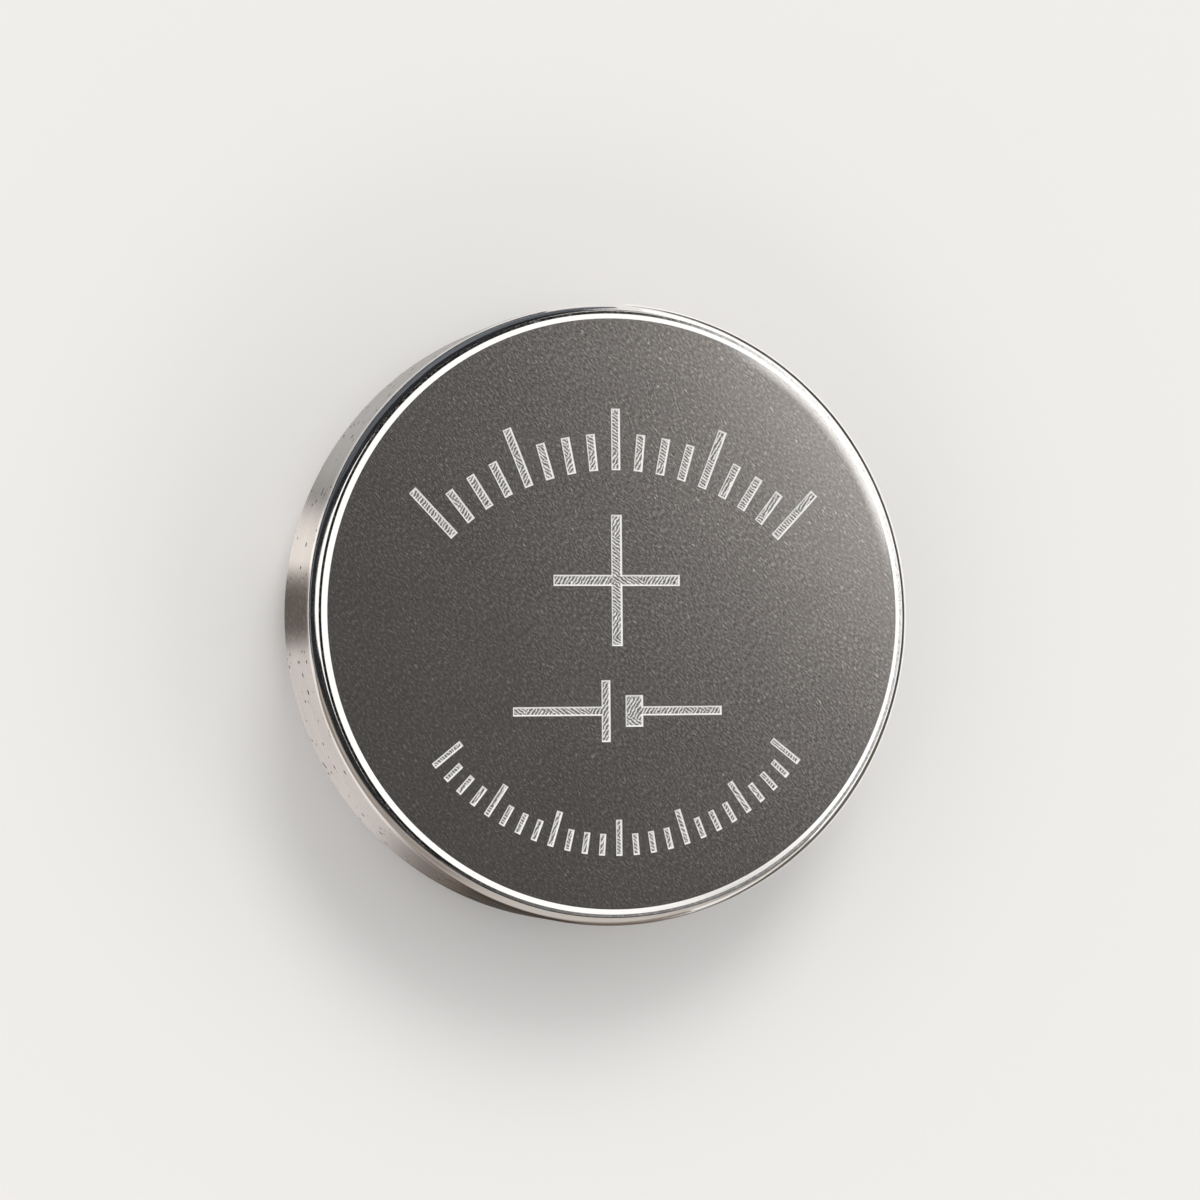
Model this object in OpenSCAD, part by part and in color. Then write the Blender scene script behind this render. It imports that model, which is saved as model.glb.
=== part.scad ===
// Button cell: a steel can, positive face up, rolled in at its foot over a stepped negative cap.
// A nylon ring seals and insulates the two, and the active layers fill the space between them.
// The cell lies on its negative cap, centred on the Z axis, with its contact face at Z = 0.

/* [Cell] */
// Outer diameter of the cell
cell_dia = 7.9; // [7:0.05:8.8]
// Height over both contact faces
cell_h = 2.1; // [1.9:0.01:2.6]

/* [Positive can] */
// Thickness of the can's sheet
can_t = 0.2; // [0.15:0.01:0.22]
// Width of the rounded rim, seen from above
rim_w = 0.115; // [0.08:0.005:0.16]
// Height of the rounded rim
rim_h = 0.185; // [0.17:0.005:0.25]
// Width of the flat ledge inside the rim
ledge_w = 0.035; // [0.02:0.005:0.06]
// Width of the bevel round the raised face
bevel_w = 0.065; // [0.04:0.005:0.1]
// Height of the raised face over the ledge
bevel_h = 0.048; // [0.03:0.002:0.06]
// Radius of the can's inside corner
can_corner_r = 0.1; // [0.05:0.01:0.14]
// Outer radius of the bend in the rolled edge
crimp_r = 0.42; // [0.36:0.01:0.5]
// Width of the flat lip past the bend
lip_w = 0.15; // [0.1:0.01:0.18]

/* [Negative cap] */
// Thickness of the cap's sheet
cap_t = 0.15; // [0.12:0.01:0.17]
// How far the cap stands proud of the rolled edge
cap_proud = 0.1; // [0.05:0.01:0.15]
// Corner radius round the contact face
cap_edge_r = 0.2; // [0.18:0.01:0.24]
// Radius where the neck meets the step
neck_fillet_r = 0.1; // [0.06:0.01:0.12]
// Width of the step's flat, between its two bends
step_flat = 0.11; // [0.06:0.01:0.3]
// Radius where the step turns into the skirt
step_r = 0.25; // [0.2:0.01:0.29]
// Height of the skirt, from the step to the fold at its end
skirt_h = 0.6; // [0.54:0.01:0.7]
// Length of the edge that is folded back on the skirt
hem_len = 0.3; // [0.24:0.01:0.32]
// Gap left inside the fold
hem_gap = 0.02; // [0.01:0.005:0.03]

/* [Gasket] */
// Thickness between the skirt and the can's wall
gasket_t = 0.22; // [0.18:0.01:0.24]
// Thickness between the step and the rolled lip
seat_t = 0.15; // [0.1:0.01:0.2]
// Thickness of the foot over the skirt's fold
foot_t = 0.15; // [0.1:0.01:0.2]
// Thickness of the lip inside the skirt
inner_lip_t = 0.1; // [0.06:0.01:0.12]
// Length of the lip inside the skirt
inner_lip_len = 0.25; // [0.18:0.01:0.3]
// How far the seal's bead spreads on the flat of the step
bead_spread = 0.03; // [0.01:0.005:0.05]
// Depth of the seal's bead behind the rolled lip
bead_recess = 0.08; // [0.04:0.01:0.14]
// Radius on the bead's edge
bead_r = 0.06; // [0.03:0.01:0.08]

/* [Active layers] */
// Thickness of the absorbent pad
pad_t = 0.19; // [0.12:0.01:0.25]
// Thickness of the barrier film
film_t = 0.06; // [0.03:0.01:0.1]

/* [Engraved marks] */
// Depth of every engraved mark
mark_depth = 0.02; // [0.01:0.005:0.04]
// Length of each bar of the plus sign
plus_size = 1.66; // [1.2:0.02:2]
// Width of each bar of the plus sign
plus_stroke = 0.14; // [0.1:0.01:0.2]
// Height of the plus sign's centre over the middle of the face
plus_y = 0.415; // [0.3:0.005:0.6]
// Width of the cell symbol, over its leads
symbol_w = 2.74; // [2.2:0.02:3]
// Height of the symbol's long plate
long_plate = 0.78; // [0.6:0.02:0.9]
// Height of the symbol's short plate
short_plate = 0.4; // [0.3:0.02:0.5]
// Thickness of the symbol's short plate
short_plate_w = 0.23; // [0.16:0.01:0.3]
// Gap between the symbol's plates
plate_gap = 0.2; // [0.12:0.01:0.3]
// Depth of the symbol's centre under the middle of the face
symbol_y = 1.235; // [1.1:0.005:1.4]
// Width of the symbol's lines and of the upper scale's ticks
stroke = 0.115; // [0.08:0.005:0.14]
// Radius of the arc that the upper scale stands on
upper_r = 3.06; // [2.8:0.02:3.4]
// Distance from the face's edge to the top of the upper scale
upper_inset = 1.145; // [0.9:0.005:1.2]
// Angle that the upper scale covers
upper_span = 87; // [70:1:95]
// Length of the upper scale's long ticks
upper_tick = 0.78; // [0.6:0.02:0.86]
// Distance from the face's edge to the foot of the lower scale
lower_inset = 0.675; // [0.5:0.005:0.8]
// Angle that the lower scale covers
lower_span = 103; // [80:1:110]
// Length of the lower scale's long ticks
lower_tick = 0.455; // [0.3:0.005:0.5]
// Width of the lower scale's ticks
lower_stroke = 0.08; // [0.05:0.005:0.1]
// Number of spaces between the long ticks of the upper scale
upper_groups = 4; // [2:1:5]
// Number of spaces between the long ticks of the lower scale
lower_groups = 6; // [4:1:7]

/* [Hidden] */
$fn = 160;

arc_steps = 8;        // straight steps in each quarter or half bend
ticks_per_group = 4;  // three short ticks follow each long one
short_share = 0.6;    // length of a short tick as a share of a long one
over = 0.05;          // how far a cutter passes the surface that it cuts

// Radii of the can and of its bore, and where its face ends
can_r = cell_dia / 2;
bore_r = can_r - can_t;
face_r = can_r - rim_w - ledge_w - bevel_w;

// Levels of the can's rim, its inside floor and its rolled edge
rim_top_z = cell_h - bevel_h;
rim_foot_z = rim_top_z - rim_h;
floor_z = cell_h - can_t;
lip_z = cap_proud;
lip_top_z = lip_z + can_t;
crimp_z = lip_z + crimp_r;
crimp_in_r = can_r - crimp_r;
lip_end_r = crimp_in_r - lip_w;

// The rounded rim is one arc: it meets the wall smoothly and the ledge at rim_turn to the wall
rim_turn = 2 * atan(rim_w / rim_h);
rim_r = rim_h / sin(rim_turn);

// The cap: its neck, its step, and its skirt of two layers and a fold
step_z = lip_top_z + seat_t;
skirt_top_z = step_z + skirt_h;
skirt_r = bore_r - gasket_t;
fold_r = cap_t + hem_gap / 2;
fold_mid_r = skirt_r - fold_r;
skirt_in_r = skirt_r - 2 * fold_r;
layer_r = skirt_in_r + cap_t;
fold_z = skirt_top_z - fold_r;
hem_z = skirt_top_z - hem_len;
step_mid_r = layer_r - step_r;
step_mid_z = step_z + step_r;
fillet_mid_r = step_mid_r - step_flat;
fillet_mid_z = step_z - neck_fillet_r;
neck_r = fillet_mid_r - neck_fillet_r;

// What lies over the skirt's fold: the gasket's foot, the pad, the film, and the pellet up to the can's floor
pad_z = skirt_top_z + foot_t;
film_z = pad_z + pad_t;
cathode_z = film_z + film_t;

// The gasket's visible bead and its lip inside the skirt
bead_in_r = step_mid_r - bead_spread;
bead_z = lip_z + bead_recess;
inner_lip_r = skirt_in_r - inner_lip_t;
inner_lip_z = skirt_top_z - inner_lip_len;

// The upper scale's arc is centred under the middle of the face, the lower one on it
upper_y = face_r - upper_inset - upper_tick - upper_r;
lower_r = face_r - lower_inset;

// Points along an arc of radius r round (x, y), from angle a to angle b
function arc(x, y, r, a, b) =
    [for (i = [0:arc_steps]) let (t = a + (b - a) * i / arc_steps) [x + r * cos(t), y + r * sin(t)]];

// The can's inside bend, from the wall to the lip, which the gasket fills
function crimp_bend(r) = arc(crimp_in_r, crimp_z, r, 0, -90);

// The cap's step, from its flat to the skirt, on either face of the sheet
function step_bend(r) = arc(step_mid_r, step_mid_z, r, -90, 0);

// The neck's fillet, from the neck to the flat of the step, on either face of the sheet
function neck_bend(r) = arc(fillet_mid_r, fillet_mid_z, r, 180, 90);

// The corner round the contact face, on either face of the sheet
function edge_bend(r) = arc(neck_r - cap_edge_r, cap_edge_r, r, -90, 0);

// The fold at the skirt's end, from its outside to its inside
function fold_bend(r) = arc(fold_mid_r, fold_z, r, 0, 180);

// The same points the other way round
function reversed(points) = [for (i = [len(points) - 1:-1:0]) points[i]];

// The cap's inside surface, from the axis to the skirt
function cap_inside() = concat(
    [[0, cap_t]],
    edge_bend(cap_edge_r - cap_t),
    neck_bend(neck_fillet_r + cap_t),
    step_bend(step_r - cap_t)
);

module turned(points) {
    rotate_extrude() polygon(points);
}

// A flat disc between two levels
module disc(r, bottom_z, thickness) {
    translate([0, 0, bottom_z]) cylinder(r = r, h = thickness);
}

// Ticks on an arc round the origin, to both sides of the direction at mid_angle.
// They start at radius foot_r and run outwards, or inwards where tick is negative.
module scale_ticks(foot_r, span, groups, tick, width, mid_angle) {
    last = groups * ticks_per_group;
    for (i = [0:last]) {
        reach = i % ticks_per_group == 0 ? tick : tick * short_share;
        rotate(mid_angle + span * (i / last - 0.5))
            translate([foot_r + reach / 2, 0])
            square([abs(reach), width], center = true);
    }
}

// The polarity mark of the face
module plus_sign() {
    translate([0, plus_y]) {
        square([plus_size, plus_stroke], center = true);
        square([plus_stroke, plus_size], center = true);
    }
}

// The circuit symbol of a cell: a long thin plate, a short thick one, and a lead on each side
module cell_symbol() {
    lead = (symbol_w - plate_gap) / 2;
    translate([0, -symbol_y]) {
        for (side = [-1, 1])
            translate([side * (plate_gap + lead) / 2, 0]) square([lead, stroke], center = true);
        translate([-(plate_gap + stroke) / 2, 0]) square([stroke, long_plate], center = true);
        translate([(plate_gap + short_plate_w) / 2, 0]) square([short_plate_w, short_plate], center = true);
    }
}

module engraved_marks() {
    translate([0, 0, cell_h - mark_depth])
        linear_extrude(mark_depth + over) {
            plus_sign();
            cell_symbol();
            translate([0, upper_y]) scale_ticks(upper_r, upper_span, upper_groups, upper_tick, stroke, 90);
            scale_ticks(lower_r, lower_span, lower_groups, -lower_tick, lower_stroke, -90);
        }
}

module positive_can() {
    color("silver")
        difference() {
            turned(concat(
                [[0, cell_h], [face_r, cell_h], [face_r + bevel_w, rim_top_z]],
                arc(can_r - rim_r, rim_foot_z, rim_r, rim_turn, 0),
                crimp_bend(crimp_r),
                [[lip_end_r, lip_z], [lip_end_r, lip_top_z]],
                reversed(crimp_bend(crimp_r - can_t)),
                arc(bore_r - can_corner_r, floor_z - can_corner_r, can_corner_r, 0, 90),
                [[0, floor_z]]
            ));
            engraved_marks();
        }
}

module negative_cap() {
    color("gainsboro")
        turned(concat(
            [[0, 0]],
            edge_bend(cap_edge_r),
            neck_bend(neck_fillet_r),
            step_bend(step_r),
            reversed(fold_bend(hem_gap / 2)),
            [[layer_r + hem_gap, hem_z], [skirt_r, hem_z]],
            fold_bend(fold_r),
            reversed(cap_inside())
        ));
}

module sealing_gasket() {
    color("ivory")
        turned(concat(
            [[inner_lip_r, pad_z], [bore_r, pad_z]],
            crimp_bend(crimp_r - can_t),
            [[lip_end_r, lip_top_z], [lip_end_r, bead_z]],
            arc(bead_in_r + bead_r, bead_z + bead_r, bead_r, 270, 180),
            [[bead_in_r, step_z]],
            step_bend(step_r),
            [[layer_r, hem_z], [skirt_r, hem_z]],
            fold_bend(fold_r),
            [[skirt_in_r, inner_lip_z], [inner_lip_r, inner_lip_z]]
        ));
}

module cathode_pellet() {
    color("dimgray")
        turned(concat(
            [[0, cathode_z], [bore_r, cathode_z]],
            arc(bore_r - can_corner_r, floor_z - can_corner_r, can_corner_r, 0, 90),
            [[0, floor_z]]
        ));
}

module barrier_film() {
    color("lightsteelblue") disc(bore_r, film_z, film_t);
}

module absorbent_pad() {
    color("white") disc(bore_r, pad_z, pad_t);
}

module zinc_anode() {
    color("slategray")
        turned(concat(
            cap_inside(),
            [[skirt_in_r, inner_lip_z], [inner_lip_r, inner_lip_z], [inner_lip_r, pad_z], [0, pad_z]]
        ));
}

positive_can();
negative_cap();
sealing_gasket();
cathode_pellet();
barrier_film();
absorbent_pad();
zinc_anode();
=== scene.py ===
import math

import bmesh
import bpy
from mathutils import Matrix, Vector


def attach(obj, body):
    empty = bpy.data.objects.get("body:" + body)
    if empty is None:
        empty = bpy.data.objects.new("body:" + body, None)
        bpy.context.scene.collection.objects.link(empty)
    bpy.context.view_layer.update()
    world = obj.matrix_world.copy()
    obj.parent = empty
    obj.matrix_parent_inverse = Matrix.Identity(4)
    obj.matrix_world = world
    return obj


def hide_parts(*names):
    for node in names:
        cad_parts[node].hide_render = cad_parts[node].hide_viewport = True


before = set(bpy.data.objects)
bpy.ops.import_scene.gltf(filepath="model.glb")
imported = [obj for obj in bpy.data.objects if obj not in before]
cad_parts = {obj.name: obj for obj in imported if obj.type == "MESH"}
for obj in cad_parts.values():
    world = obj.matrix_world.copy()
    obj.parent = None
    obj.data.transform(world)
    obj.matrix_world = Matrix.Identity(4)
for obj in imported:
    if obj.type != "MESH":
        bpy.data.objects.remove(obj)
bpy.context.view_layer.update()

mm = 0.001
tiny = 0.001  # well under any size in mm and any slope here
drawing = {
    "turnSteps": 240,  # straight steps in a full turn
    "weld": 0.00002,   # vertices this near, in mm, become one
    "sharp": 28,       # edges that turn by more degrees look sharp
}
print("cell: frame loaded")


# every piece is drawn in mm as a section beside the axis, which is then turned round it

def heading(direction):
    # the level way that many degrees round the axis
    return Vector((math.cos(math.radians(direction)), math.sin(math.radians(direction)), 0))


def drawMoves(shape, tip, moves):
    # a vertex is drawn on from the tip: ("line", r, z) or ("bend", centreR, centreZ, degrees, steps)
    vert = bmesh.ops.create_vert(shape, co=(tip[0], 0, tip[1]))["vert"][0]
    drawn = [vert]
    for move in moves:
        known = set(shape.verts)
        if move[0] == "line":
            bmesh.ops.extrude_vert_indiv(shape, verts=[vert])
            vert = [v for v in shape.verts if v not in known][0]
            vert.co = (move[1], 0, move[2])
            drawn.append(vert)
        else:
            centre = (move[1], 0, move[2])
            angle = math.radians(move[3])
            made = bmesh.ops.spin(
                shape, geom=[vert], cent=centre, axis=(0, -1, 0), angle=angle, steps=move[4],
                use_merge=False, use_duplicate=False,
            )
            vert = [v for v in made["geom_last"] if isinstance(v, bmesh.types.BMVert)][0]
            drawn += [v for v in shape.verts if v not in known]
    return drawn, (vert.co.x, vert.co.z)


def turnedShape(start, zones):
    # each zone is (material number, moves); the zones follow each other round the section
    shape = bmesh.new()
    tip = start
    for slotNumber, moves in zones:
        knownFaces = set(shape.faces)
        drawn, tip = drawMoves(shape, tip, moves)
        edges = list(dict.fromkeys(edge for vert in drawn for edge in vert.link_edges))
        bmesh.ops.spin(
            shape, geom=drawn + edges, cent=(0, 0, 0), axis=(0, 0, 1), angle=math.tau,
            steps=drawing["turnSteps"], use_merge=True, use_duplicate=False,
        )
        for face in shape.faces:
            if face not in knownFaces:
                face.material_index = slotNumber
    bmesh.ops.remove_doubles(shape, verts=shape.verts, dist=drawing["weld"])
    # the fan of slivers round each pole becomes one flat face
    for pole in [v for v in shape.verts if math.hypot(v.co.x, v.co.y) < tiny]:
        bmesh.ops.dissolve_faces(shape, faces=list(pole.link_faces))
    bmesh.ops.recalc_face_normals(shape, faces=shape.faces)
    return shape


def plainShape(start, moves):
    # a turned shape of one material
    return turnedShape(start, [(0, moves)])


def shapeToMesh(shape, name):
    for face in shape.faces:
        face.smooth = True
    for edge in shape.edges:
        edge.smooth = edge.calc_face_angle(math.pi) < math.radians(drawing["sharp"])
    mesh = bpy.data.meshes.new(name)
    shape.to_mesh(mesh)
    shape.free()
    return mesh


def pieceMesh(shape, name):
    bmesh.ops.scale(shape, vec=(mm, mm, mm), verts=shape.verts)
    return shapeToMesh(shape, name)


def addPiece(name, mesh, materials, node):
    piece = bpy.data.objects.new(name, mesh)
    bpy.context.scene.collection.objects.link(piece)
    for material in materials:
        mesh.materials.append(material)
    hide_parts(node)
    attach(piece, "root")


# materials are built from a few patterns, whose sizes are in mm

def newMaterial(name):
    material = bpy.data.materials.new(name)
    material.use_nodes = True
    tree = material.node_tree
    return material, tree, tree.nodes["Principled BSDF"]


def plug(tree, node, inputs):
    # each input gets a value or another node's output
    for socket, value in inputs.items():
        if isinstance(value, bpy.types.NodeSocket):
            tree.links.new(value, node.inputs[socket])
        else:
            node.inputs[socket].default_value = value


def addNode(tree, kind, inputs=None, **settings):
    node = tree.nodes.new(kind)
    for key, value in settings.items():
        setattr(node, key, value)
    plug(tree, node, inputs or {})
    return node


def worked(tree, operation, first, second):
    return addNode(tree, "ShaderNodeMath", {0: first, 1: second}, operation=operation).outputs["Value"]


def times(tree, first, second):
    return worked(tree, "MULTIPLY", first, second)


def spanned(tree, value, low, high, fromLow=0.3, fromHigh=0.7):
    node = addNode(
        tree, "ShaderNodeMapRange",
        {"Value": value, "From Min": fromLow, "From Max": fromHigh, "To Min": low, "To Max": high},
    )
    return node.outputs["Result"]


def faded(tree, value, start, end):
    # 0 at start and 1 at end, with soft ends
    node = addNode(
        tree, "ShaderNodeMapRange", {"Value": value, "From Min": start, "From Max": end},
        interpolation_type="SMOOTHSTEP",
    )
    return node.outputs["Result"]


def ramp(tree, value, stops):
    node = addNode(tree, "ShaderNodeValToRGB", {"Fac": value})
    elements = node.color_ramp.elements
    while len(elements) > 1:
        elements.remove(elements[-1])
    elements[0].position = stops[0][0]
    elements[0].color = (*stops[0][1], 1)
    for position, colour in stops[1:]:
        elements.new(position).color = (*colour, 1)
    return node.outputs["Color"]


def mixed(tree, amount, first, second, blend="MIX"):
    # inputs 0, 6 and 7 are the factor and the two colours
    node = addNode(
        tree, "ShaderNodeMix", {0: amount, 6: first, 7: second}, data_type="RGBA", blend_type=blend)
    return node.outputs[2]


def scaled(values, factor):
    return tuple(value * factor for value in values)


def greys(low, high, warmth=0.965):
    # two stops of a slightly warm grey
    stops = ((0.3, low), (0.7, high))
    return [(place, (grey, grey * (1 + warmth) / 2, grey * warmth)) for place, grey in stops]


def bumped(tree, shader, height, strength, distance, below=None):
    inputs = {"Height": height, "Strength": strength, "Distance": distance * mm}
    if below is not None:
        inputs["Normal"] = below
    normal = addNode(tree, "ShaderNodeBump", inputs).outputs["Normal"]
    plug(tree, shader, {"Normal": normal})
    return normal


def grainPoint(tree, size, turn=0):
    # the place on the piece, counted in grains of a length, width and depth
    place = addNode(tree, "ShaderNodeTexCoord")
    mapping = addNode(
        tree, "ShaderNodeMapping",
        {"Vector": place.outputs["Object"], "Rotation": (0, 0, math.radians(turn)),
         "Scale": scaled(size, mm)},
        vector_type="TEXTURE",
    )
    return mapping.outputs["Vector"]


def grainPattern(tree, size, turn=0, detail=3, roughness=0.55):
    noise = addNode(
        tree, "ShaderNodeTexNoise",
        {"Vector": grainPoint(tree, size, turn), "Scale": 1, "Detail": detail, "Roughness": roughness},
    )
    return noise.outputs["Fac"]


dotCore = 0.4  # the part of a dot's radius that is full; round it the dot fades


def speckPattern(tree, size, share, spread=0.16, turn=0, steady=0):
    # a share of the cells of a Voronoi pattern carry a dot; steady 1 would make all as strong
    cells = addNode(tree, "ShaderNodeTexVoronoi", {"Vector": grainPoint(tree, size, turn), "Scale": 1})
    dot = spanned(tree, cells.outputs["Distance"], 0, 1, spread, spread * dotCore)
    parts = addNode(tree, "ShaderNodeSeparateColor", {"Color": cells.outputs["Color"]})
    strongest = 1.001 - share * steady  # the 0.001 keeps the span open where steady is 1
    chosen = spanned(tree, parts.outputs["Red"], 0, 1, 1 - share, strongest)
    return times(tree, dot, chosen)


waveStep = 0.314  # between two waves of a wave texture at a scale of 1


def hatchPattern(tree, step, turn, waver):
    # wavy lines that lie a step apart
    waves = addNode(
        tree, "ShaderNodeTexWave",
        {"Vector": grainPoint(tree, (1, 1, 1), turn), "Scale": waveStep / step, "Distortion": waver,
         "Detail": 2, "Detail Scale": 2.5},
        wave_type="BANDS", bands_direction="X",
    )
    return waves.outputs["Fac"]


def flatPoint(tree):
    # the place on the piece as seen along the axis
    place = addNode(tree, "ShaderNodeTexCoord").outputs["Object"]
    return addNode(tree, "ShaderNodeVectorMath", {0: place, 1: (1, 1, 0)}, operation="MULTIPLY").outputs[0]


def roundPattern(tree, direction, start, end):
    # 0 to 1 by how near a point lies to a direction round the axis; start and end are cosines
    unit = addNode(tree, "ShaderNodeVectorMath", {0: flatPoint(tree)}, operation="NORMALIZE").outputs[0]
    near = addNode(
        tree, "ShaderNodeVectorMath", {0: unit, 1: heading(direction)}, operation="DOT_PRODUCT")
    return faded(tree, near.outputs["Value"], start, end)


def radiusPattern(tree, start, end):
    # 0 to 1 between two distances from the axis
    far = addNode(tree, "ShaderNodeVectorMath", {0: flatPoint(tree)}, operation="LENGTH")
    return faded(tree, far.outputs["Value"], start * mm, end * mm)


def mattFaceNickel():
    material, tree, shader = newMaterial("mattFaceNickel")
    flecks = grainPattern(tree, (0.052, 0.021, 0.06), turn=-50, detail=2, roughness=0.6)
    clouds = grainPattern(tree, (1.3, 1.0, 1), detail=3)
    base = ramp(tree, flecks, [
        (0.36, (0.318, 0.301, 0.292)), (0.54, (0.347, 0.33, 0.32)), (0.64, (0.428, 0.408, 0.396)),
    ])
    base = mixed(tree, 0.4, base, ramp(tree, clouds, greys(0.44, 0.54)), "OVERLAY")
    glints = speckPattern(tree, (0.13, 0.05, 0.1), 0.5, 0.24, turn=-50)
    base = mixed(tree, times(tree, glints, 0.45), base, (0.9, 0.88, 0.86, 1))
    hairs = faded(tree, grainPattern(tree, (0.55, 0.02, 0.4), turn=-20, detail=1), 0.7, 0.78)
    base = mixed(tree, times(tree, hairs, 0.3), base, (0.6, 0.58, 0.56, 1))
    # painted highlight: the face's edge is painted bright at the upper right, where it glows
    paintedEdgeGlow = times(tree, roundPattern(tree, 38, 0.86, 0.98), radiusPattern(tree, 3.6, 3.745))
    base = mixed(tree, times(tree, paintedEdgeGlow, 0.85), base, (0.97, 0.95, 0.93, 1))
    plug(tree, shader, {"Base Color": base, "Roughness": spanned(tree, flecks, 0.15, 0.23), "Metallic": 1})
    bumped(tree, shader, flecks, 0.5, 0.00045)
    return material


def polishedNickel(name="polishedNickel", low=0.9, high=0.97, roughLow=0.06, roughHigh=0.12):
    material, tree, shader = newMaterial(name)
    lines = grainPattern(tree, (0.5, 0.5, 0.02), detail=3)
    base = ramp(tree, lines, greys(low, high))
    rough = spanned(tree, lines, roughLow, roughHigh)
    plug(tree, shader, {"Base Color": base, "Roughness": rough, "Metallic": 1})
    bumped(tree, shader, lines, 0.1, 0.002)
    return material


def insideNickel():
    return polishedNickel("insideNickel", 0.5, 0.6, 0.25, 0.4)


def creaseNickel():
    material, tree, shader = newMaterial("creaseNickel")
    grains = grainPattern(tree, (0.05, 0.05, 0.05), detail=4, roughness=0.7)
    paintedCreaseShade = ramp(tree, grains, [
        (0.44, (0.05, 0.048, 0.046)), (0.58, (0.14, 0.135, 0.13)), (0.72, (0.7, 0.68, 0.66)),
    ])
    plainCreaseNickel = ramp(tree, grains, [(0.3, (0.93, 0.92, 0.91)), (0.6, (0.98, 0.97, 0.96))])
    # painted shade: the crease is painted dark on the left, and stays plain bright nickel on the right
    base = mixed(tree, roundPattern(tree, 160, -0.3, 0.35), plainCreaseNickel, paintedCreaseShade)
    plug(tree, shader, {"Base Color": base, "Roughness": spanned(tree, grains, 0.12, 0.25), "Metallic": 1})
    bumped(tree, shader, grains, 0.2, 0.001)
    return material


def satinWallNickel():
    material, tree, shader = newMaterial("satinWallNickel")
    lines = grainPattern(tree, (0.7, 0.7, 0.09), detail=3)
    patches = grainPattern(tree, (0.9, 0.9, 0.5), detail=3)
    grit = grainPattern(tree, (0.06, 0.06, 0.1), detail=3, roughness=0.7)
    base = ramp(tree, lines, greys(0.5, 0.66))
    base = mixed(tree, 0.5, base, ramp(tree, patches, greys(0.42, 0.58)), "OVERLAY")
    # dark nicks and dots, which are faint away from the used side
    used = roundPattern(tree, 175, -0.3, 0.3)
    nicks = speckPattern(tree, (0.2, 0.2, 0.2), 0.6, 0.2, steady=0.4)
    nicks = times(tree, nicks, faded(tree, patches, 0.42, 0.54))
    nicks = times(tree, nicks, used)
    dots = speckPattern(tree, (0.1, 0.1, 0.15), 0.28, 0.24, steady=0.2)
    dots = times(tree, dots, spanned(tree, used, 0.08, 1))
    marks = worked(tree, "MAXIMUM", nicks, dots)
    base = mixed(tree, spanned(tree, marks, 0, 1, 0, 0.45), base, (0.06, 0.054, 0.049, 1))
    # painted reflection: a dark patch painted on the wall where it mirrors something dark, with pale specks
    # in it
    paintedDarkPatch = times(tree, roundPattern(tree, 178.5, 0.9905, 0.9985), spanned(tree, grit, 1, 0, 0.5, 0.62))
    base = mixed(tree, times(tree, paintedDarkPatch, 0.45), base, (0.08, 0.068, 0.06, 1))
    patchSpecks = speckPattern(tree, (0.09, 0.09, 0.13), 0.9, 0.26)
    patchSpecks = times(tree, patchSpecks, roundPattern(tree, 178.5, 0.987, 0.998))
    patchSpecks = times(tree, patchSpecks, 0.5)
    base = mixed(tree, patchSpecks, base, (0.62, 0.56, 0.5, 1))
    rough = worked(tree, "ADD", spanned(tree, lines, 0.2, 0.34), marks)
    metal = spanned(tree, worked(tree, "MAXIMUM", marks, patchSpecks), 1, 0, 0.4, 1)
    plug(tree, shader, {"Base Color": base, "Roughness": rough, "Metallic": metal})
    normal = bumped(tree, shader, lines, 0.3, 0.002)
    bumped(tree, shader, grit, 0.25, 0.001, normal)
    return material


def etchedFloorNickel():
    material, tree, shader = newMaterial("etchedFloorNickel")
    steep = hatchPattern(tree, 0.04, -32, 4)
    flat = hatchPattern(tree, 0.036, 55, 4)
    choice = grainPattern(tree, (0.5, 0.5, 0.1), detail=1)
    hatch = mixed(tree, faded(tree, choice, 0.47, 0.53), steep, flat)
    grains = grainPattern(tree, (0.03, 0.03, 0.05), detail=2)
    hatch = mixed(tree, 0.4, hatch, grains)
    base = ramp(tree, hatch, [
        (0.2, (0.1, 0.097, 0.094)), (0.5, (0.36, 0.352, 0.343)), (0.8, (0.88, 0.87, 0.855)),
    ])
    plug(tree, shader, {"Base Color": base, "Roughness": spanned(tree, hatch, 0.4, 0.6), "Metallic": 0.5})
    bumped(tree, shader, hatch, 0.3, 0.003)
    return material


def etchedEdgeNickel():
    material, tree, shader = newMaterial("etchedEdgeNickel")
    grains = grainPattern(tree, (0.05, 0.05, 0.05), detail=3)
    base = ramp(tree, grains, greys(0.92, 0.99, 0.99))
    plug(tree, shader, {"Base Color": base, "Roughness": spanned(tree, grains, 0.3, 0.5), "Metallic": 0.4})
    bumped(tree, shader, grains, 0.2, 0.004)
    return material


def satinCapNickel():
    material, tree, shader = newMaterial("satinCapNickel")
    flecks = grainPattern(tree, (0.06, 0.06, 0.06), detail=4)
    rubs = grainPattern(tree, (1.4, 0.03, 0.4), turn=25, detail=2)
    base = ramp(tree, flecks, greys(0.5, 0.6))
    base = mixed(tree, 0.35, base, ramp(tree, rubs, greys(0.4, 0.62)), "OVERLAY")
    plug(tree, shader, {"Base Color": base, "Roughness": spanned(tree, rubs, 0.26, 0.42), "Metallic": 1})
    bumped(tree, shader, flecks, 0.15, 0.004)
    return material


def waxyNylon():
    material, tree, shader = newMaterial("waxyNylon")
    clouds = grainPattern(tree, (0.6, 0.6, 0.3), detail=4)
    base = ramp(tree, clouds, [(0.3, (0.7, 0.675, 0.6)), (0.7, (0.83, 0.81, 0.75))])
    plug(tree, shader, {"Base Color": base, "Roughness": spanned(tree, clouds, 0.38, 0.55)})
    plug(tree, shader, {"Subsurface Weight": 0.15, "Subsurface Radius": (0.0004, 0.0003, 0.0002)})
    bumped(tree, shader, clouds, 0.1, 0.01)
    return material


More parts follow.
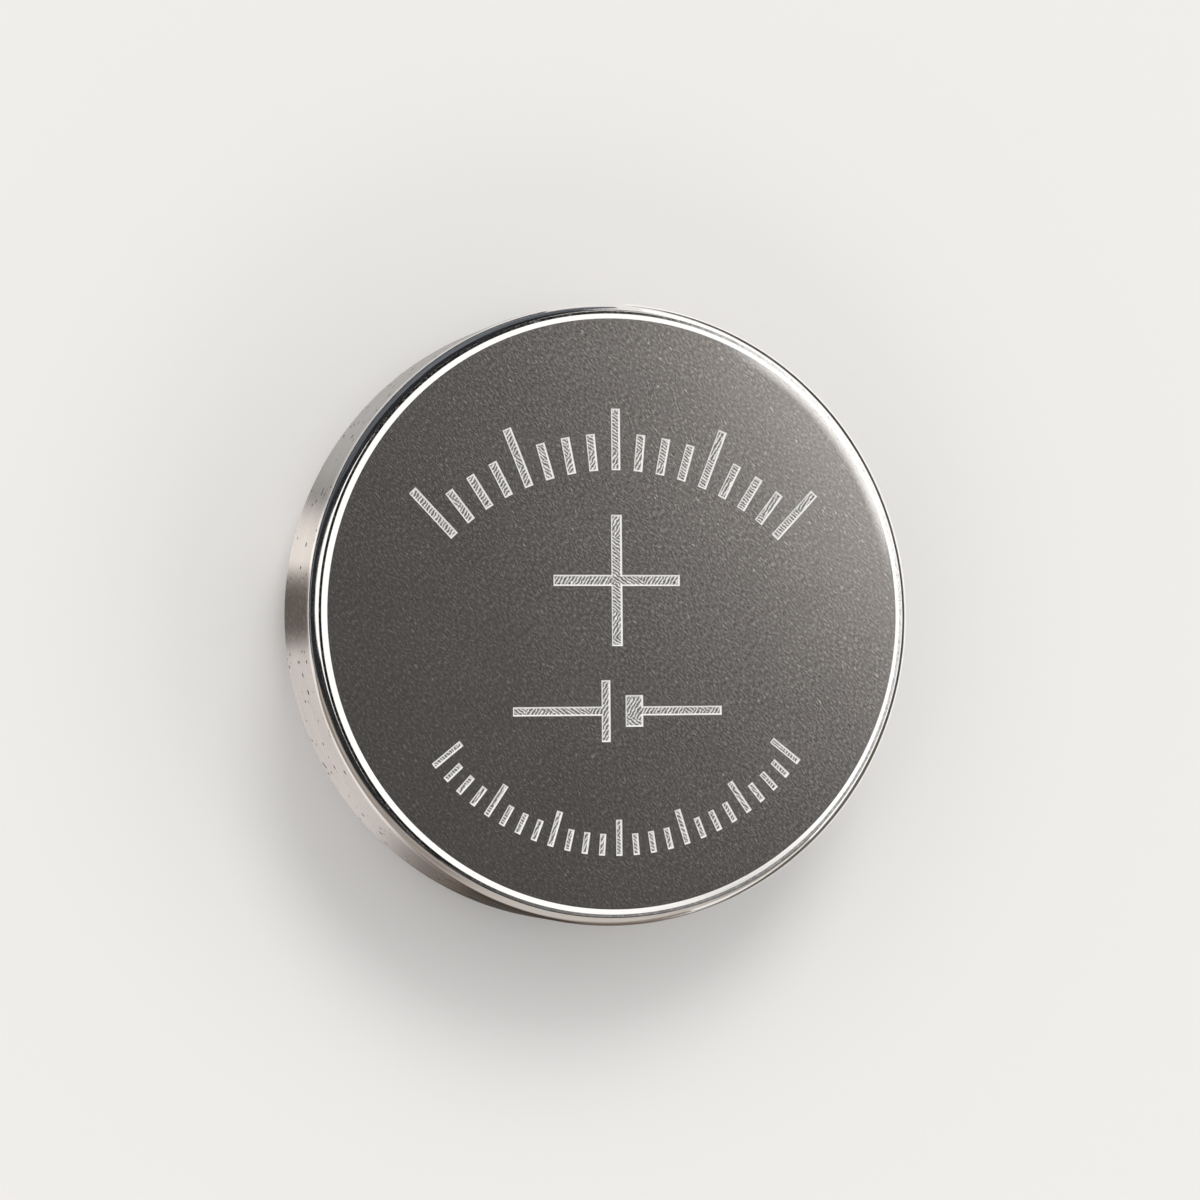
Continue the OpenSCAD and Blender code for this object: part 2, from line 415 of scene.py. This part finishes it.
def pressedPowder():
    material, tree, shader = newMaterial("pressedPowder")
    grains = grainPattern(tree, (0.05, 0.05, 0.05), detail=5, roughness=0.7)
    glints = speckPattern(tree, (0.1, 0.1, 0.1), 0.3)
    base = ramp(tree, grains, [(0.3, (0.02, 0.02, 0.022)), (0.7, (0.09, 0.09, 0.095))])
    base = mixed(tree, glints, base, (0.3, 0.3, 0.31, 1))
    plug(tree, shader, {"Base Color": base, "Roughness": spanned(tree, grains, 0.5, 0.8), "Metallic": 0.3})
    bumped(tree, shader, grains, 0.5, 0.01)
    return material


def cellFilm():
    material, tree, shader = newMaterial("cellFilm")
    clouds = grainPattern(tree, (0.5, 0.3, 0.3), turn=10, detail=3)
    base = ramp(tree, clouds, [(0.3, (0.68, 0.72, 0.77)), (0.7, (0.8, 0.83, 0.86))])
    plug(tree, shader, {"Base Color": base, "Roughness": spanned(tree, clouds, 0.2, 0.35)})
    bumped(tree, shader, clouds, 0.1, 0.01)
    return material


def soakedFelt():
    material, tree, shader = newMaterial("soakedFelt")
    fibres = grainPattern(tree, (0.25, 0.02, 0.05), turn=35, detail=4)
    crossFibres = grainPattern(tree, (0.25, 0.02, 0.05), turn=-50, detail=4)
    base = ramp(tree, fibres, [(0.3, (0.72, 0.71, 0.67)), (0.7, (0.9, 0.89, 0.86))])
    base = mixed(tree, 0.5, base, ramp(tree, crossFibres, greys(0.4, 0.6)), "OVERLAY")
    plug(tree, shader, {"Base Color": base, "Roughness": 0.9})
    normal = bumped(tree, shader, fibres, 0.5, 0.015)
    bumped(tree, shader, crossFibres, 0.5, 0.015, normal)
    return material


def zincGrains():
    material, tree, shader = newMaterial("zincGrains")
    grains = grainPattern(tree, (0.07, 0.07, 0.07), detail=4, roughness=0.7)
    glints = speckPattern(tree, (0.12, 0.12, 0.12), 0.4, 0.25)
    base = ramp(tree, grains, [(0.3, (0.25, 0.27, 0.3)), (0.7, (0.5, 0.52, 0.55))])
    base = mixed(tree, glints, base, (0.75, 0.77, 0.8, 1))
    plug(tree, shader, {"Base Color": base, "Roughness": spanned(tree, grains, 0.3, 0.6), "Metallic": 0.6})
    bumped(tree, shader, grains, 0.6, 0.02)
    return material


# positive can: sizes in mm, heights from the negative contact face
can = {
    "radius": 3.95,
    "height": 2.1,
    "sheet": 0.2,
    "faceRadius": 3.735,
    "bevelWidth": 0.065,
    "bevelDrop": 0.048,
    "creaseWidth": 0.035,
    # degrees above level that the shoulder faces at the crease, then its rounds: radius, degrees, steps
    "shoulderStart": 52,
    "shoulder": [(0.2, 6, 3), (0.6976, 8, 4), (0.1609, 38, 16)],
    "crimpBend": 0.42,  # outer radius of the bend that rolls the edge in
    "lipEnd": 3.38,
    "lipHeight": 0.1,
    "cornerRound": 0.1,
    "steps": {"crimp": 24, "crimpInside": 12, "corner": 8},
}
bore = can["radius"] - can["sheet"]
canFloor = can["height"] - can["sheet"]
lipTop = can["lipHeight"] + can["sheet"]
crimpR = can["radius"] - can["crimpBend"]
crimpZ = can["lipHeight"] + can["crimpBend"]

canFinishes = {
    "face": mattFaceNickel,
    "polished": polishedNickel,
    "crease": creaseNickel,
    "wall": satinWallNickel,
    "inside": insideNickel,
    "etchedFloor": etchedFloorNickel,
    "etchedEdge": etchedEdgeNickel,
}
canSlots = {zone: number for number, zone in enumerate(canFinishes)}


def shoulderMoves(tip):
    facing = can["shoulderStart"]
    moves = []
    for radius, turn, steps in can["shoulder"]:
        centre = Vector(tip) - heading(facing).xy * radius
        moves.append(("bend", centre.x, centre.y, -turn, steps))
        facing -= turn
        tip = centre + heading(facing).xy * radius
    return moves


def cornerMoves():
    # the inner floor with its rounded corner, which the pellet fills
    cornerR = bore - can["cornerRound"]
    cornerZ = canFloor - can["cornerRound"]
    return [
        ("line", bore, cornerZ),
        ("bend", cornerR, cornerZ, 90, can["steps"]["corner"]),
        ("line", 0, canFloor),
    ]


def canShape():
    bevelR = can["faceRadius"] + can["bevelWidth"]
    bevelZ = can["height"] - can["bevelDrop"]
    ledgeEnd = bevelR + can["creaseWidth"]
    return turnedShape((0, can["height"]), [
        (canSlots["face"], [("line", can["faceRadius"], can["height"])]),
        (canSlots["polished"], [("line", bevelR, bevelZ)]),
        (canSlots["crease"], [("line", ledgeEnd, bevelZ)]),
        (canSlots["polished"], shoulderMoves((ledgeEnd, bevelZ))),
        (canSlots["wall"], [
            ("line", can["radius"], crimpZ),
            ("bend", crimpR, crimpZ, -90, can["steps"]["crimp"]),
            ("line", can["lipEnd"], can["lipHeight"]),
            ("line", can["lipEnd"], lipTop),
        ]),
        (canSlots["inside"], [
            ("line", crimpR, lipTop),
            ("bend", crimpR, crimpZ, 90, can["steps"]["crimpInside"]),
            *cornerMoves(),
        ]),
    ])


# marks engraved in the face
marks = {
    "depth": 0.02,
    "slope": 0.019,        # width of their sloped side walls
    "rimTurn": 45,         # edges of a cutter's foot that turn by more degrees are sloped
    "cutterHeight": 0.1,
    "plusSize": 1.66,
    "plusStroke": 0.14,
    "plusY": 0.415,
    "symbolWidth": 2.74,
    "symbolY": -1.235,
    "stroke": 0.115,
    "longPlate": 0.78,
    "shortPlate": 0.4,
    "shortPlateWidth": 0.23,
    "plateGap": 0.2,
    "upper": {"y": -1.25, "foot": 3.06, "span": 87, "ticks": 17, "long": 0.78, "width": 0.115, "middle": 90},
    "lower": {"y": 0, "foot": 3.06, "span": 103, "ticks": 25, "long": -0.455, "width": 0.08, "middle": -90},
    "longEvery": 4,        # every fourth tick of a scale is a long one
    "shortShare": 0.6,
}
markFloor = can["height"] - marks["depth"]
right, left, up, down = (1, 0), (-1, 0), (0, 1), (0, -1)


def addCutter(shape, centre, size, arms=()):
    # a box whose sides grow into arms: (side direction, length)
    height = marks["cutterHeight"]
    made = bmesh.ops.create_cube(shape, size=1)["verts"]
    bmesh.ops.scale(shape, vec=(size[0], size[1], height), verts=made)
    bmesh.ops.translate(shape, vec=(centre[0], centre[1], markFloor + height / 2), verts=made)
    faces = {face for vert in made for face in vert.link_faces}
    for direction, length in arms:
        way = Vector((*direction, 0))
        side = max(faces, key=lambda face: face.normal.dot(way))
        grown = bmesh.ops.extrude_face_region(shape, geom=[side])["geom"]
        tips = [item for item in grown if isinstance(item, bmesh.types.BMVert)]
        bmesh.ops.translate(shape, vec=way * length, verts=tips)
        bmesh.ops.delete(shape, geom=[side], context="FACES_ONLY")
        faces.discard(side)
        made += tips
    return made


def addPlus(shape):
    stroke = marks["plusStroke"]
    arm = (marks["plusSize"] - stroke) / 2
    addCutter(shape, (0, marks["plusY"]), (stroke, stroke), [(way, arm) for way in (right, left, up, down)])


def addPlate(shape, side, width, length):
    # one plate of the circuit symbol of a cell, and the lead that runs out from it
    stroke = marks["stroke"]
    centre = (side[0] * (marks["plateGap"] + width) / 2, marks["symbolY"])
    rise = (length - stroke) / 2
    lead = (marks["symbolWidth"] - marks["plateGap"]) / 2 - width
    addCutter(shape, centre, (width, stroke), [(up, rise), (down, rise), (side, lead)])


def addScale(shape, scale):
    last = scale["ticks"] - 1
    for number in range(scale["ticks"]):
        reach = scale["long"] * (1 if number % marks["longEvery"] == 0 else marks["shortShare"])
        made = addCutter(shape, (scale["foot"] + reach / 2, 0), (abs(reach), scale["width"]))
        angle = math.radians(scale["middle"] + scale["span"] * (number / last - 0.5))
        bmesh.ops.rotate(shape, cent=(0, 0, 0), matrix=Matrix.Rotation(angle, 3, "Z"), verts=made)
        bmesh.ops.translate(shape, vec=(0, scale["y"], 0), verts=made)


def markCutters():
    shape = bmesh.new()
    addPlus(shape)
    addPlate(shape, left, marks["stroke"], marks["longPlate"])
    addPlate(shape, right, marks["shortPlateWidth"], marks["shortPlate"])
    addScale(shape, marks["upper"])
    addScale(shape, marks["lower"])
    bmesh.ops.recalc_face_normals(shape, faces=shape.faces)
    rims = [
        edge for edge in shape.edges
        if all(vert.co.z < markFloor + tiny for vert in edge.verts)
        and edge.calc_face_angle(0) > math.radians(marks["rimTurn"])
    ]
    bmesh.ops.bevel(
        shape, geom=rims, offset=marks["slope"], offset_type="OFFSET", segments=1, profile=0.5,
        affect="EDGES", material=-1, clamp_overlap=True,
    )
    return shape


def cutMarks(shape):
    body = bpy.data.objects.new("canBlank", shapeToMesh(shape, "canBlank"))
    cutter = bpy.data.objects.new("markCutters", shapeToMesh(markCutters(), "markCutters"))
    for item in (body, cutter):
        bpy.context.scene.collection.objects.link(item)
    engraving = body.modifiers.new("engraving", "BOOLEAN")
    engraving.operation = "DIFFERENCE"
    engraving.solver = "EXACT"
    engraving.object = cutter
    bpy.context.view_layer.update()
    engraved = body.evaluated_get(bpy.context.evaluated_depsgraph_get())
    result = bmesh.new()
    result.from_mesh(engraved.to_mesh())
    engraved.to_mesh_clear()
    for item in (body, cutter):
        spent = item.data
        bpy.data.objects.remove(item)
        bpy.data.meshes.remove(spent)
    for face in result.faces:
        middle = face.calc_center_median()
        inFace = math.hypot(middle.x, middle.y) < can["faceRadius"]
        if inFace and markFloor - tiny < middle.z < can["height"] - tiny:
            level = face.normal.z > 1 - tiny
            face.material_index = canSlots["etchedFloor" if level else "etchedEdge"]
    return result


canMaterials = [makeFinish() for makeFinish in canFinishes.values()]
canMesh = pieceMesh(cutMarks(canShape()), "can")
addPiece("can", canMesh, canMaterials, "positive_can")
print("cell: can engraved,", len(canMesh.polygons), "faces")


# negative cap: a flat contact, a neck, a step and a skirt whose edge is folded back outside
cap = {
    "sheet": 0.15,
    "contactRadius": 2.7,
    "edgeRound": 0.2,
    "neckHeight": 0.35,
    "neckRound": 0.1,
    "stepRadius": 3.11,
    "stepRound": 0.25,
    "foldHeight": 0.89,
    "foldGap": 0.01,
    "hemHeight": 0.75,
    "steps": {
        "edge": 12, "neck": 8, "step": 12, "fold": 18,
        "edgeInside": 8, "neckInside": 10, "stepInside": 10, "foldInside": 6,
    },
}
edgeR, edgeZ = cap["contactRadius"], cap["edgeRound"]
neckR, neckZ = edgeR + cap["edgeRound"] + cap["neckRound"], cap["neckHeight"]
stepR, stepZ = cap["stepRadius"], neckZ + cap["neckRound"] + cap["stepRound"]
foldR, foldZ = stepR + cap["stepRound"] + cap["foldGap"], cap["foldHeight"]
hemR = foldR + cap["foldGap"] + cap["sheet"]
skirtR = foldR - cap["foldGap"] - cap["sheet"]


def capInsideMoves():
    # the cap's inner side from the axis to the skirt
    sheet = cap["sheet"]
    steps = cap["steps"]
    return [
        ("line", edgeR, sheet),
        ("bend", edgeR, edgeZ, 90, steps["edgeInside"]),
        ("line", neckR - cap["neckRound"] - sheet, neckZ),
        ("bend", neckR, neckZ, -90, steps["neckInside"]),
        ("line", stepR, stepZ - cap["stepRound"] + sheet),
        ("bend", stepR, stepZ, 90, steps["stepInside"]),
    ]


def capShape():
    sheet = cap["sheet"]
    steps = cap["steps"]
    return plainShape((0, 0), [
        ("line", edgeR, 0),
        ("bend", edgeR, edgeZ, 90, steps["edge"]),
        ("line", neckR - cap["neckRound"], neckZ),
        ("bend", neckR, neckZ, -90, steps["neck"]),
        ("line", stepR, stepZ - cap["stepRound"]),
        ("bend", stepR, stepZ, 90, steps["step"]),
        ("line", foldR - cap["foldGap"], foldZ),
        ("bend", foldR, foldZ, -180, steps["foldInside"]),
        ("line", foldR + cap["foldGap"], cap["hemHeight"]),
        ("line", hemR, cap["hemHeight"]),
        ("line", hemR, foldZ),
        ("bend", foldR, foldZ, 180, steps["fold"]),
        ("line", stepR + cap["stepRound"] - sheet, stepZ),
        ("bend", stepR, stepZ, -90, steps["stepInside"]),
        ("line", neckR, neckZ + cap["neckRound"] + sheet),
        ("bend", neckR, neckZ, 90, steps["neckInside"]),
        ("line", edgeR + cap["edgeRound"] - sheet, edgeZ),
        ("bend", edgeR, edgeZ, -90, steps["edgeInside"]),
        ("line", 0, sheet),
    ])


addPiece("cap", pieceMesh(capShape(), "cap"), [satinCapNickel()], "negative_cap")
print("cell: cap turned")


# seal ring: moulded between the can and the cap, with a lip inside the skirt
seal = {
    "beadRadius": 3.08,
    "beadHeight": 0.18,
    "beadRound": 0.06,
    "lipRadius": 3.11,
    "lipHeight": 0.8,
    "steps": {"bead": 8},
}
# heights at which the layers start; each one reaches to the next, and the pellet to the can's floor
layers = {
    "pad": 1.2,
    "film": 1.39,
    "pellet": 1.45,
}


def sealLipMoves():
    # the lip's side towards the cap, which the zinc meets too
    return [
        ("line", skirtR, seal["lipHeight"]),
        ("line", seal["lipRadius"], seal["lipHeight"]),
        ("line", seal["lipRadius"], layers["pad"]),
    ]


def sealShape():
    beadR = seal["beadRadius"] + seal["beadRound"]
    beadZ = seal["beadHeight"] + seal["beadRound"]
    return plainShape((seal["lipRadius"], layers["pad"]), [
        ("line", bore, layers["pad"]),
        ("line", bore, crimpZ),
        ("bend", crimpR, crimpZ, -90, can["steps"]["crimpInside"]),
        ("line", can["lipEnd"], lipTop),
        ("line", can["lipEnd"], seal["beadHeight"]),
        ("line", beadR, seal["beadHeight"]),
        ("bend", beadR, beadZ, -90, seal["steps"]["bead"]),
        ("line", seal["beadRadius"], stepZ - cap["stepRound"]),
        ("line", stepR, stepZ - cap["stepRound"]),
        ("bend", stepR, stepZ, 90, cap["steps"]["step"]),
        ("line", stepR + cap["stepRound"], cap["hemHeight"]),
        ("line", hemR, cap["hemHeight"]),
        ("line", hemR, foldZ),
        ("bend", foldR, foldZ, 180, cap["steps"]["fold"]),
        *sealLipMoves(),
    ])


def discShape(foot, top):
    return plainShape((0, foot), [("line", bore, foot), ("line", bore, top), ("line", 0, top)])


def pelletShape():
    return plainShape((0, layers["pellet"]), [("line", bore, layers["pellet"]), *cornerMoves()])


def zincShape():
    return plainShape((0, cap["sheet"]), [*capInsideMoves(), *sealLipMoves(), ("line", 0, layers["pad"])])


innerPieces = [
    ("seal", sealShape(), waxyNylon(), "sealing_gasket", "gasket_nylon"),
    ("pellet", pelletShape(), pressedPowder(), "cathode_pellet", "cathode_mix"),
    ("film", discShape(layers["film"], layers["pellet"]), cellFilm(), "barrier_film", "barrier_film"),
    ("pad", discShape(layers["pad"], layers["film"]), soakedFelt(), "absorbent_pad", "absorbent_felt"),
    ("zinc", zincShape(), zincGrains(), "zinc_anode", "zinc_paste"),
]
for pieceName, pieceShape, pieceMaterial, nodeName, slotName in innerPieces:
    addPiece(pieceName, pieceMesh(pieceShape, pieceName), [pieceMaterial], nodeName)
print("cell: seal and layers made")


cameraView = {
    "turn": 15.84,      # degrees that the cell's axis is turned to the right of the line of sight
    "lean": 1.86,       # degrees that it leans up
    "distance": 49.6,   # mm from the camera to the face
    "right": 0.218,     # mm from the picture's centre to the face's centre
    "up": -0.167,
    "lens": 117.8,
    "sensor": 36,
    "near": 0.001,      # m from the camera at which its view starts
    "far": 10,
}


def addCamera():
    turn = math.radians(cameraView["turn"])
    lean = math.radians(cameraView["lean"])
    cellUp = Vector((math.sin(turn) * math.cos(lean), math.sin(lean), math.cos(turn) * math.cos(lean)))
    cellRight = Vector((math.cos(turn), 0, -math.sin(turn)))
    cellBack = cellUp.cross(cellRight)
    toCell = Matrix((cellRight, cellBack, cellUp))
    offset = toCell @ Vector((-cameraView["right"], -cameraView["up"], cameraView["distance"]))
    place = (offset + Vector((0, 0, can["height"]))) * mm
    data = bpy.data.cameras.new("camera")
    data.lens = cameraView["lens"]
    data.sensor_width = cameraView["sensor"]
    data.clip_start = cameraView["near"]
    data.clip_end = cameraView["far"]
    camera = bpy.data.objects.new("camera", data)
    camera.matrix_world = Matrix.Translation(place) @ toCell.to_4x4()
    bpy.context.scene.collection.objects.link(camera)
    bpy.context.scene.camera = camera


studio = {
    "floorRadius": 600,
    "floorSides": 96,
    "floorGrey": (0.895, 0.889, 0.883),
    "mottle": 40,                     # size of the floor's faint clouds
    "mottleDark": 0.99,
    "backdrop": (0.86, 0.846, 0.83),
    "warmth": (1, 0.985, 0.97),       # tint of the sky that the metal mirrors
    "around": 1.13,                   # its brightness round the cell
    "overhead": 0.142,                # and overhead
    "darkMiddle": (0.06, -0.228, 1),  # direction of the dark part overhead
    "darkEdge": (0.75, 0.9),          # cosines between which it fades in
    "front": {"colour": (0.25, 0.24, 0.22), "share": 0.4, "side": (-0.5, -0.9), "height": (0.25, 0.05)},
    "lampColour": (1, 0.99, 0.97),
    "key": {"turn": 20, "tilt": 36, "distance": 260, "size": 141, "power": 0.125},
    "fill": {"turn": 82, "tilt": 44, "distance": 300, "spread": 24, "power": 0.744},
}


def addFloor():
    shape = bmesh.new()
    bmesh.ops.create_circle(
        shape, cap_ends=True, radius=studio["floorRadius"] * mm, segments=studio["floorSides"])
    material, tree, shader = newMaterial("paleFloor")
    clouds = grainPattern(tree, (studio["mottle"],) * 3, detail=3)
    dark = scaled(studio["floorGrey"], studio["mottleDark"])
    base = ramp(tree, clouds, [(0.3, dark), (0.7, studio["floorGrey"])])
    plug(tree, shader, {"Base Color": base, "Roughness": 0.75, "Specular IOR Level": 0})
    floor = bpy.data.objects.new("floor", shapeToMesh(shape, "floor"))
    floor.data.materials.append(material)
    bpy.context.scene.collection.objects.link(floor)


def addWorld():
    world = bpy.data.worlds.new("studio")
    bpy.context.scene.world = world
    world.use_nodes = True
    tree = world.node_tree
    way = addNode(tree, "ShaderNodeTexCoord").outputs["Generated"]
    middle = Vector(studio["darkMiddle"]).normalized()
    near = addNode(tree, "ShaderNodeVectorMath", {0: way, 1: middle}, operation="DOT_PRODUCT")
    overhead = faded(tree, near.outputs["Value"], *studio["darkEdge"])
    bright = (*scaled(studio["warmth"], studio["around"]), 1)
    dark = (*scaled(studio["warmth"], studio["overhead"]), 1)
    sky = mixed(tree, overhead, bright, dark)
    # the front is a little darker, low down
    front = studio["front"]
    parts = addNode(tree, "ShaderNodeSeparateXYZ", {"Vector": way})
    ahead = faded(tree, parts.outputs["Y"], *front["side"])
    low = faded(tree, parts.outputs["Z"], *front["height"])
    shade = times(tree, times(tree, ahead, low), front["share"])
    sky = mixed(tree, shade, sky, (*front["colour"], 1))
    # the metal mirrors this sky, and the camera sees the plain backdrop
    background = tree.nodes["Background"]
    plug(tree, background, {"Color": sky})
    seen = addNode(tree, "ShaderNodeLightPath").outputs["Is Camera Ray"]
    plain = addNode(tree, "ShaderNodeBackground", {"Color": (*studio["backdrop"], 1), "Strength": 1})
    choice = addNode(tree, "ShaderNodeMixShader", {0: seen, 1: background.outputs[0], 2: plain.outputs[0]})
    plug(tree, tree.nodes["World Output"], {"Surface": choice.outputs[0]})


# soft cards that only the metal mirrors: each outline point is a direction in degrees, and the two
# heights that the card spans there or, where it lies flat at its lift, the two radii
# each spot is a direction, degrees to either side where it is full and where it is gone, and its colour
cards = {
    "blackCard": {
        "distance": 12, "grey": (0.02, 0.02, 0.021), "spread": 0.4, "grain": (0.6, 0.6, 0.6),
        "outline": [(68, 1.6, 1.8), (80, 1.4, 2.6), (96, 1.5, 3.6), (110, 1.7, 4.4), (135, 2.2, 5.1),
                    (146, 2.4, 4.4), (154, 1.8, 3.7), (166, 1.3, 3.2), (178, 1.3, 3.2), (187, 1.5, 3.7),
                    (194, 1.8, 4.8), (202, 2.1, 5.4), (222, 2.6, 5.4), (236, 3.1, 5.1), (248, 3.3, 4.8),
                    (262, 3.0, 4.4), (285, 2.5, 3.6), (305, 1.7, 3), (318, 1.1, 2.4), (330, 0.8, 1.4)],
    },
    "slateCard": {
        "distance": 12.3, "grey": (0.1, 0.11, 0.125), "spread": 0.8, "grain": (9, 9, 0.35),
        "outline": [(78, 0, 0.6), (92, 0, 2.2), (105, 0, 3.2), (125, 0, 3.6), (140, 0, 3), (150, 0, 2.6),
                    (160, 0, 2.2), (186, 0.2, 2), (194, 1, 1.6)],
    },
    "brownCard": {
        "distance": 12.6, "grey": (0.34, 0.305, 0.275), "spread": 0.35, "grain": (9, 9, 0.5),
        "outline": [(188, 0, 1), (196, 0, 3), (240, 0, 4.2), (262, 0, 3.6), (285, 0, 3.3), (305, 0, 2.8),
                    (325, 0, 1)],
        "spots": [(276, 14, 34, (0.55, 0.51, 0.47))],
    },
    "whiteCard": {
        "distance": 10.8, "grey": (1.15, 1.14, 1.13), "spread": 0.02, "grain": (2, 2, 2),
        "outline": [(-40, 0, 1), (-25, 0, 3), (0, 0, 5), (45, 0, 5), (60, 0, 3.4), (74, 0, 1)],
    },
    "slateStrip": {
        "lift": 0.02, "grey": (0.07, 0.076, 0.086), "spread": 0.5, "grain": (0.4, 0.4, 0.4),
        "outline": [(92, 9, 12), (110, 7, 12), (145, 6.5, 12), (165, 7, 12), (188, 7.5, 12), (196, 10, 12)],
    },
    "brownStrip": {
        "lift": 0.03, "grey": (0.27, 0.235, 0.205), "spread": 0.3, "grain": (0.6, 0.6, 0.6),
        "outline": [(188, 9, 12.6), (198, 6.2, 12.6), (240, 6.1, 12.6), (270, 7, 12.6), (295, 9, 12.6)],
    },
    "lineStrip": {
        "lift": 0.03, "grey": (0.05, 0.043, 0.037), "spread": 0.3, "grain": (0.5, 0.5, 0.5),
        "outline": [(-66, 5.4, 8), (-45, 6.4, 10.4), (-20, 7.2, 10.7), (0, 7.5, 10.7), (40, 7.6, 10.6),
                    (62, 7.8, 10), (78, 8, 8.6)],
        "spots": [(-50, 12, 45, (0.13, 0.112, 0.098))],
    },
    "brightStrip": {
        "lift": 0.02, "grey": (1.02, 1.01, 1), "spread": 0.02, "grain": (2, 2, 2),
        "outline": [(-45, 4, 4.5), (-30, 4, 6.9), (0, 4, 7.5), (60, 4, 7.7), (80, 4, 7)],
    },
    "wallStrip": {
        "lift": 0.05, "grey": (0.4, 0.38, 0.365), "spread": 0.1, "grain": (0.8, 0.8, 0.8),
        "outline": [(95, 3.6, 4.2), (112, 3.6, 6), (200, 3.6, 6), (230, 3.6, 9), (262, 3.6, 10),
                    (285, 3.6, 9), (305, 3.6, 4.5)],
        "spots": [(128, 12, 30, (0.57, 0.55, 0.535)), (203, 13, 38, (0.84, 0.77, 0.735)),
                  (170, 2, 15, (1.15, 1.06, 0.99)), (178.3, 0.3, 10, (0.2, 0.176, 0.155)),
                  (263, 14, 39, (0.15, 0.118, 0.098)), (258, 6, 16, (0.06, 0.048, 0.04))],
    },
}
cardStep = 3  # degrees between two points of a card


def reachAt(outline, direction):
    for (fromWay, fromNear, fromFar), (toWay, toNear, toFar) in zip(outline, outline[1:]):
        if direction <= toWay:
            part = (direction - fromWay) / (toWay - fromWay)
            return fromNear + (toNear - fromNear) * part, fromFar + (toFar - fromFar) * part
    return outline[-1][1:]


def cardShape(card):
    outline = card["outline"]
    first, last = outline[0][0], outline[-1][0]
    shape = bmesh.new()
    bmesh.ops.create_grid(shape, x_segments=int((last - first) / cardStep), y_segments=1, size=1)
    for vert in shape.verts:
        direction = first + (last - first) * (vert.co.x + 1) / 2
        reach = reachAt(outline, direction)[0 if vert.co.y < 0 else 1]
        if "lift" in card:
            vert.co = (heading(direction) * reach + Vector((0, 0, card["lift"]))) * mm
        else:
            vert.co = (heading(direction) * card["distance"] + Vector((0, 0, reach))) * mm
    return shape


def cardGlow(name, card):
    material, tree, shader = newMaterial(name)
    pattern = grainPattern(tree, card["grain"])
    low = scaled(card["grey"], 1 - card["spread"])
    high = scaled(card["grey"], 1 + card["spread"])
    colour = ramp(tree, pattern, [(0.35, low), (0.65, high)])
    for direction, full, gone, spot in card.get("spots", []):
        near = roundPattern(tree, direction, math.cos(math.radians(gone)), math.cos(math.radians(full)))
        colour = mixed(tree, near, colour, (*spot, 1))
    plug(tree, shader, {"Emission Color": colour, "Emission Strength": 1})
    plug(tree, shader, {"Base Color": (0, 0, 0, 1), "Specular IOR Level": 0, "Roughness": 1})
    return material


def addCard(name, card):
    strip = bpy.data.objects.new(name, shapeToMesh(cardShape(card), name))
    strip.data.materials.append(cardGlow(name, card))
    strip.visible_camera = False
    strip.visible_diffuse = False
    strip.visible_shadow = False
    bpy.context.scene.collection.objects.link(strip)


def addLamp(name, lamp):
    turn = math.radians(lamp["turn"])
    tilt = math.radians(lamp["tilt"])
    way = Vector((math.sin(tilt) * math.cos(turn), math.sin(tilt) * math.sin(turn), math.cos(tilt)))
    facing = way.to_track_quat("Z", "Y").to_matrix().to_4x4()
    if "spread" in lamp:  # a far lamp, even over the whole floor
        data = bpy.data.lights.new(name, "SUN")
        data.angle = math.radians(lamp["spread"])
    else:
        data = bpy.data.lights.new(name, "AREA")
        data.shape = "DISK"
        data.size = lamp["size"] * mm
    data.energy = lamp["power"]
    data.color = studio["lampColour"]
    light = bpy.data.objects.new(name, data)
    light.matrix_world = Matrix.Translation(way * lamp["distance"] * mm) @ facing
    bpy.context.scene.collection.objects.link(light)
    return light


addCamera()
print("cell: camera placed")

addFloor()
addWorld()
for cardName, card in cards.items():
    addCard(cardName, card)
keyLamp = addLamp("keyLamp", studio["key"])
keyLamp.visible_diffuse = False  # the metal's bright side
fillLamp = addLamp("fillLamp", studio["fill"])
fillLamp.visible_glossy = False  # the floor's light and shadow
bpy.context.scene.view_settings.view_transform = "Standard"
print("cell: floor and light set")
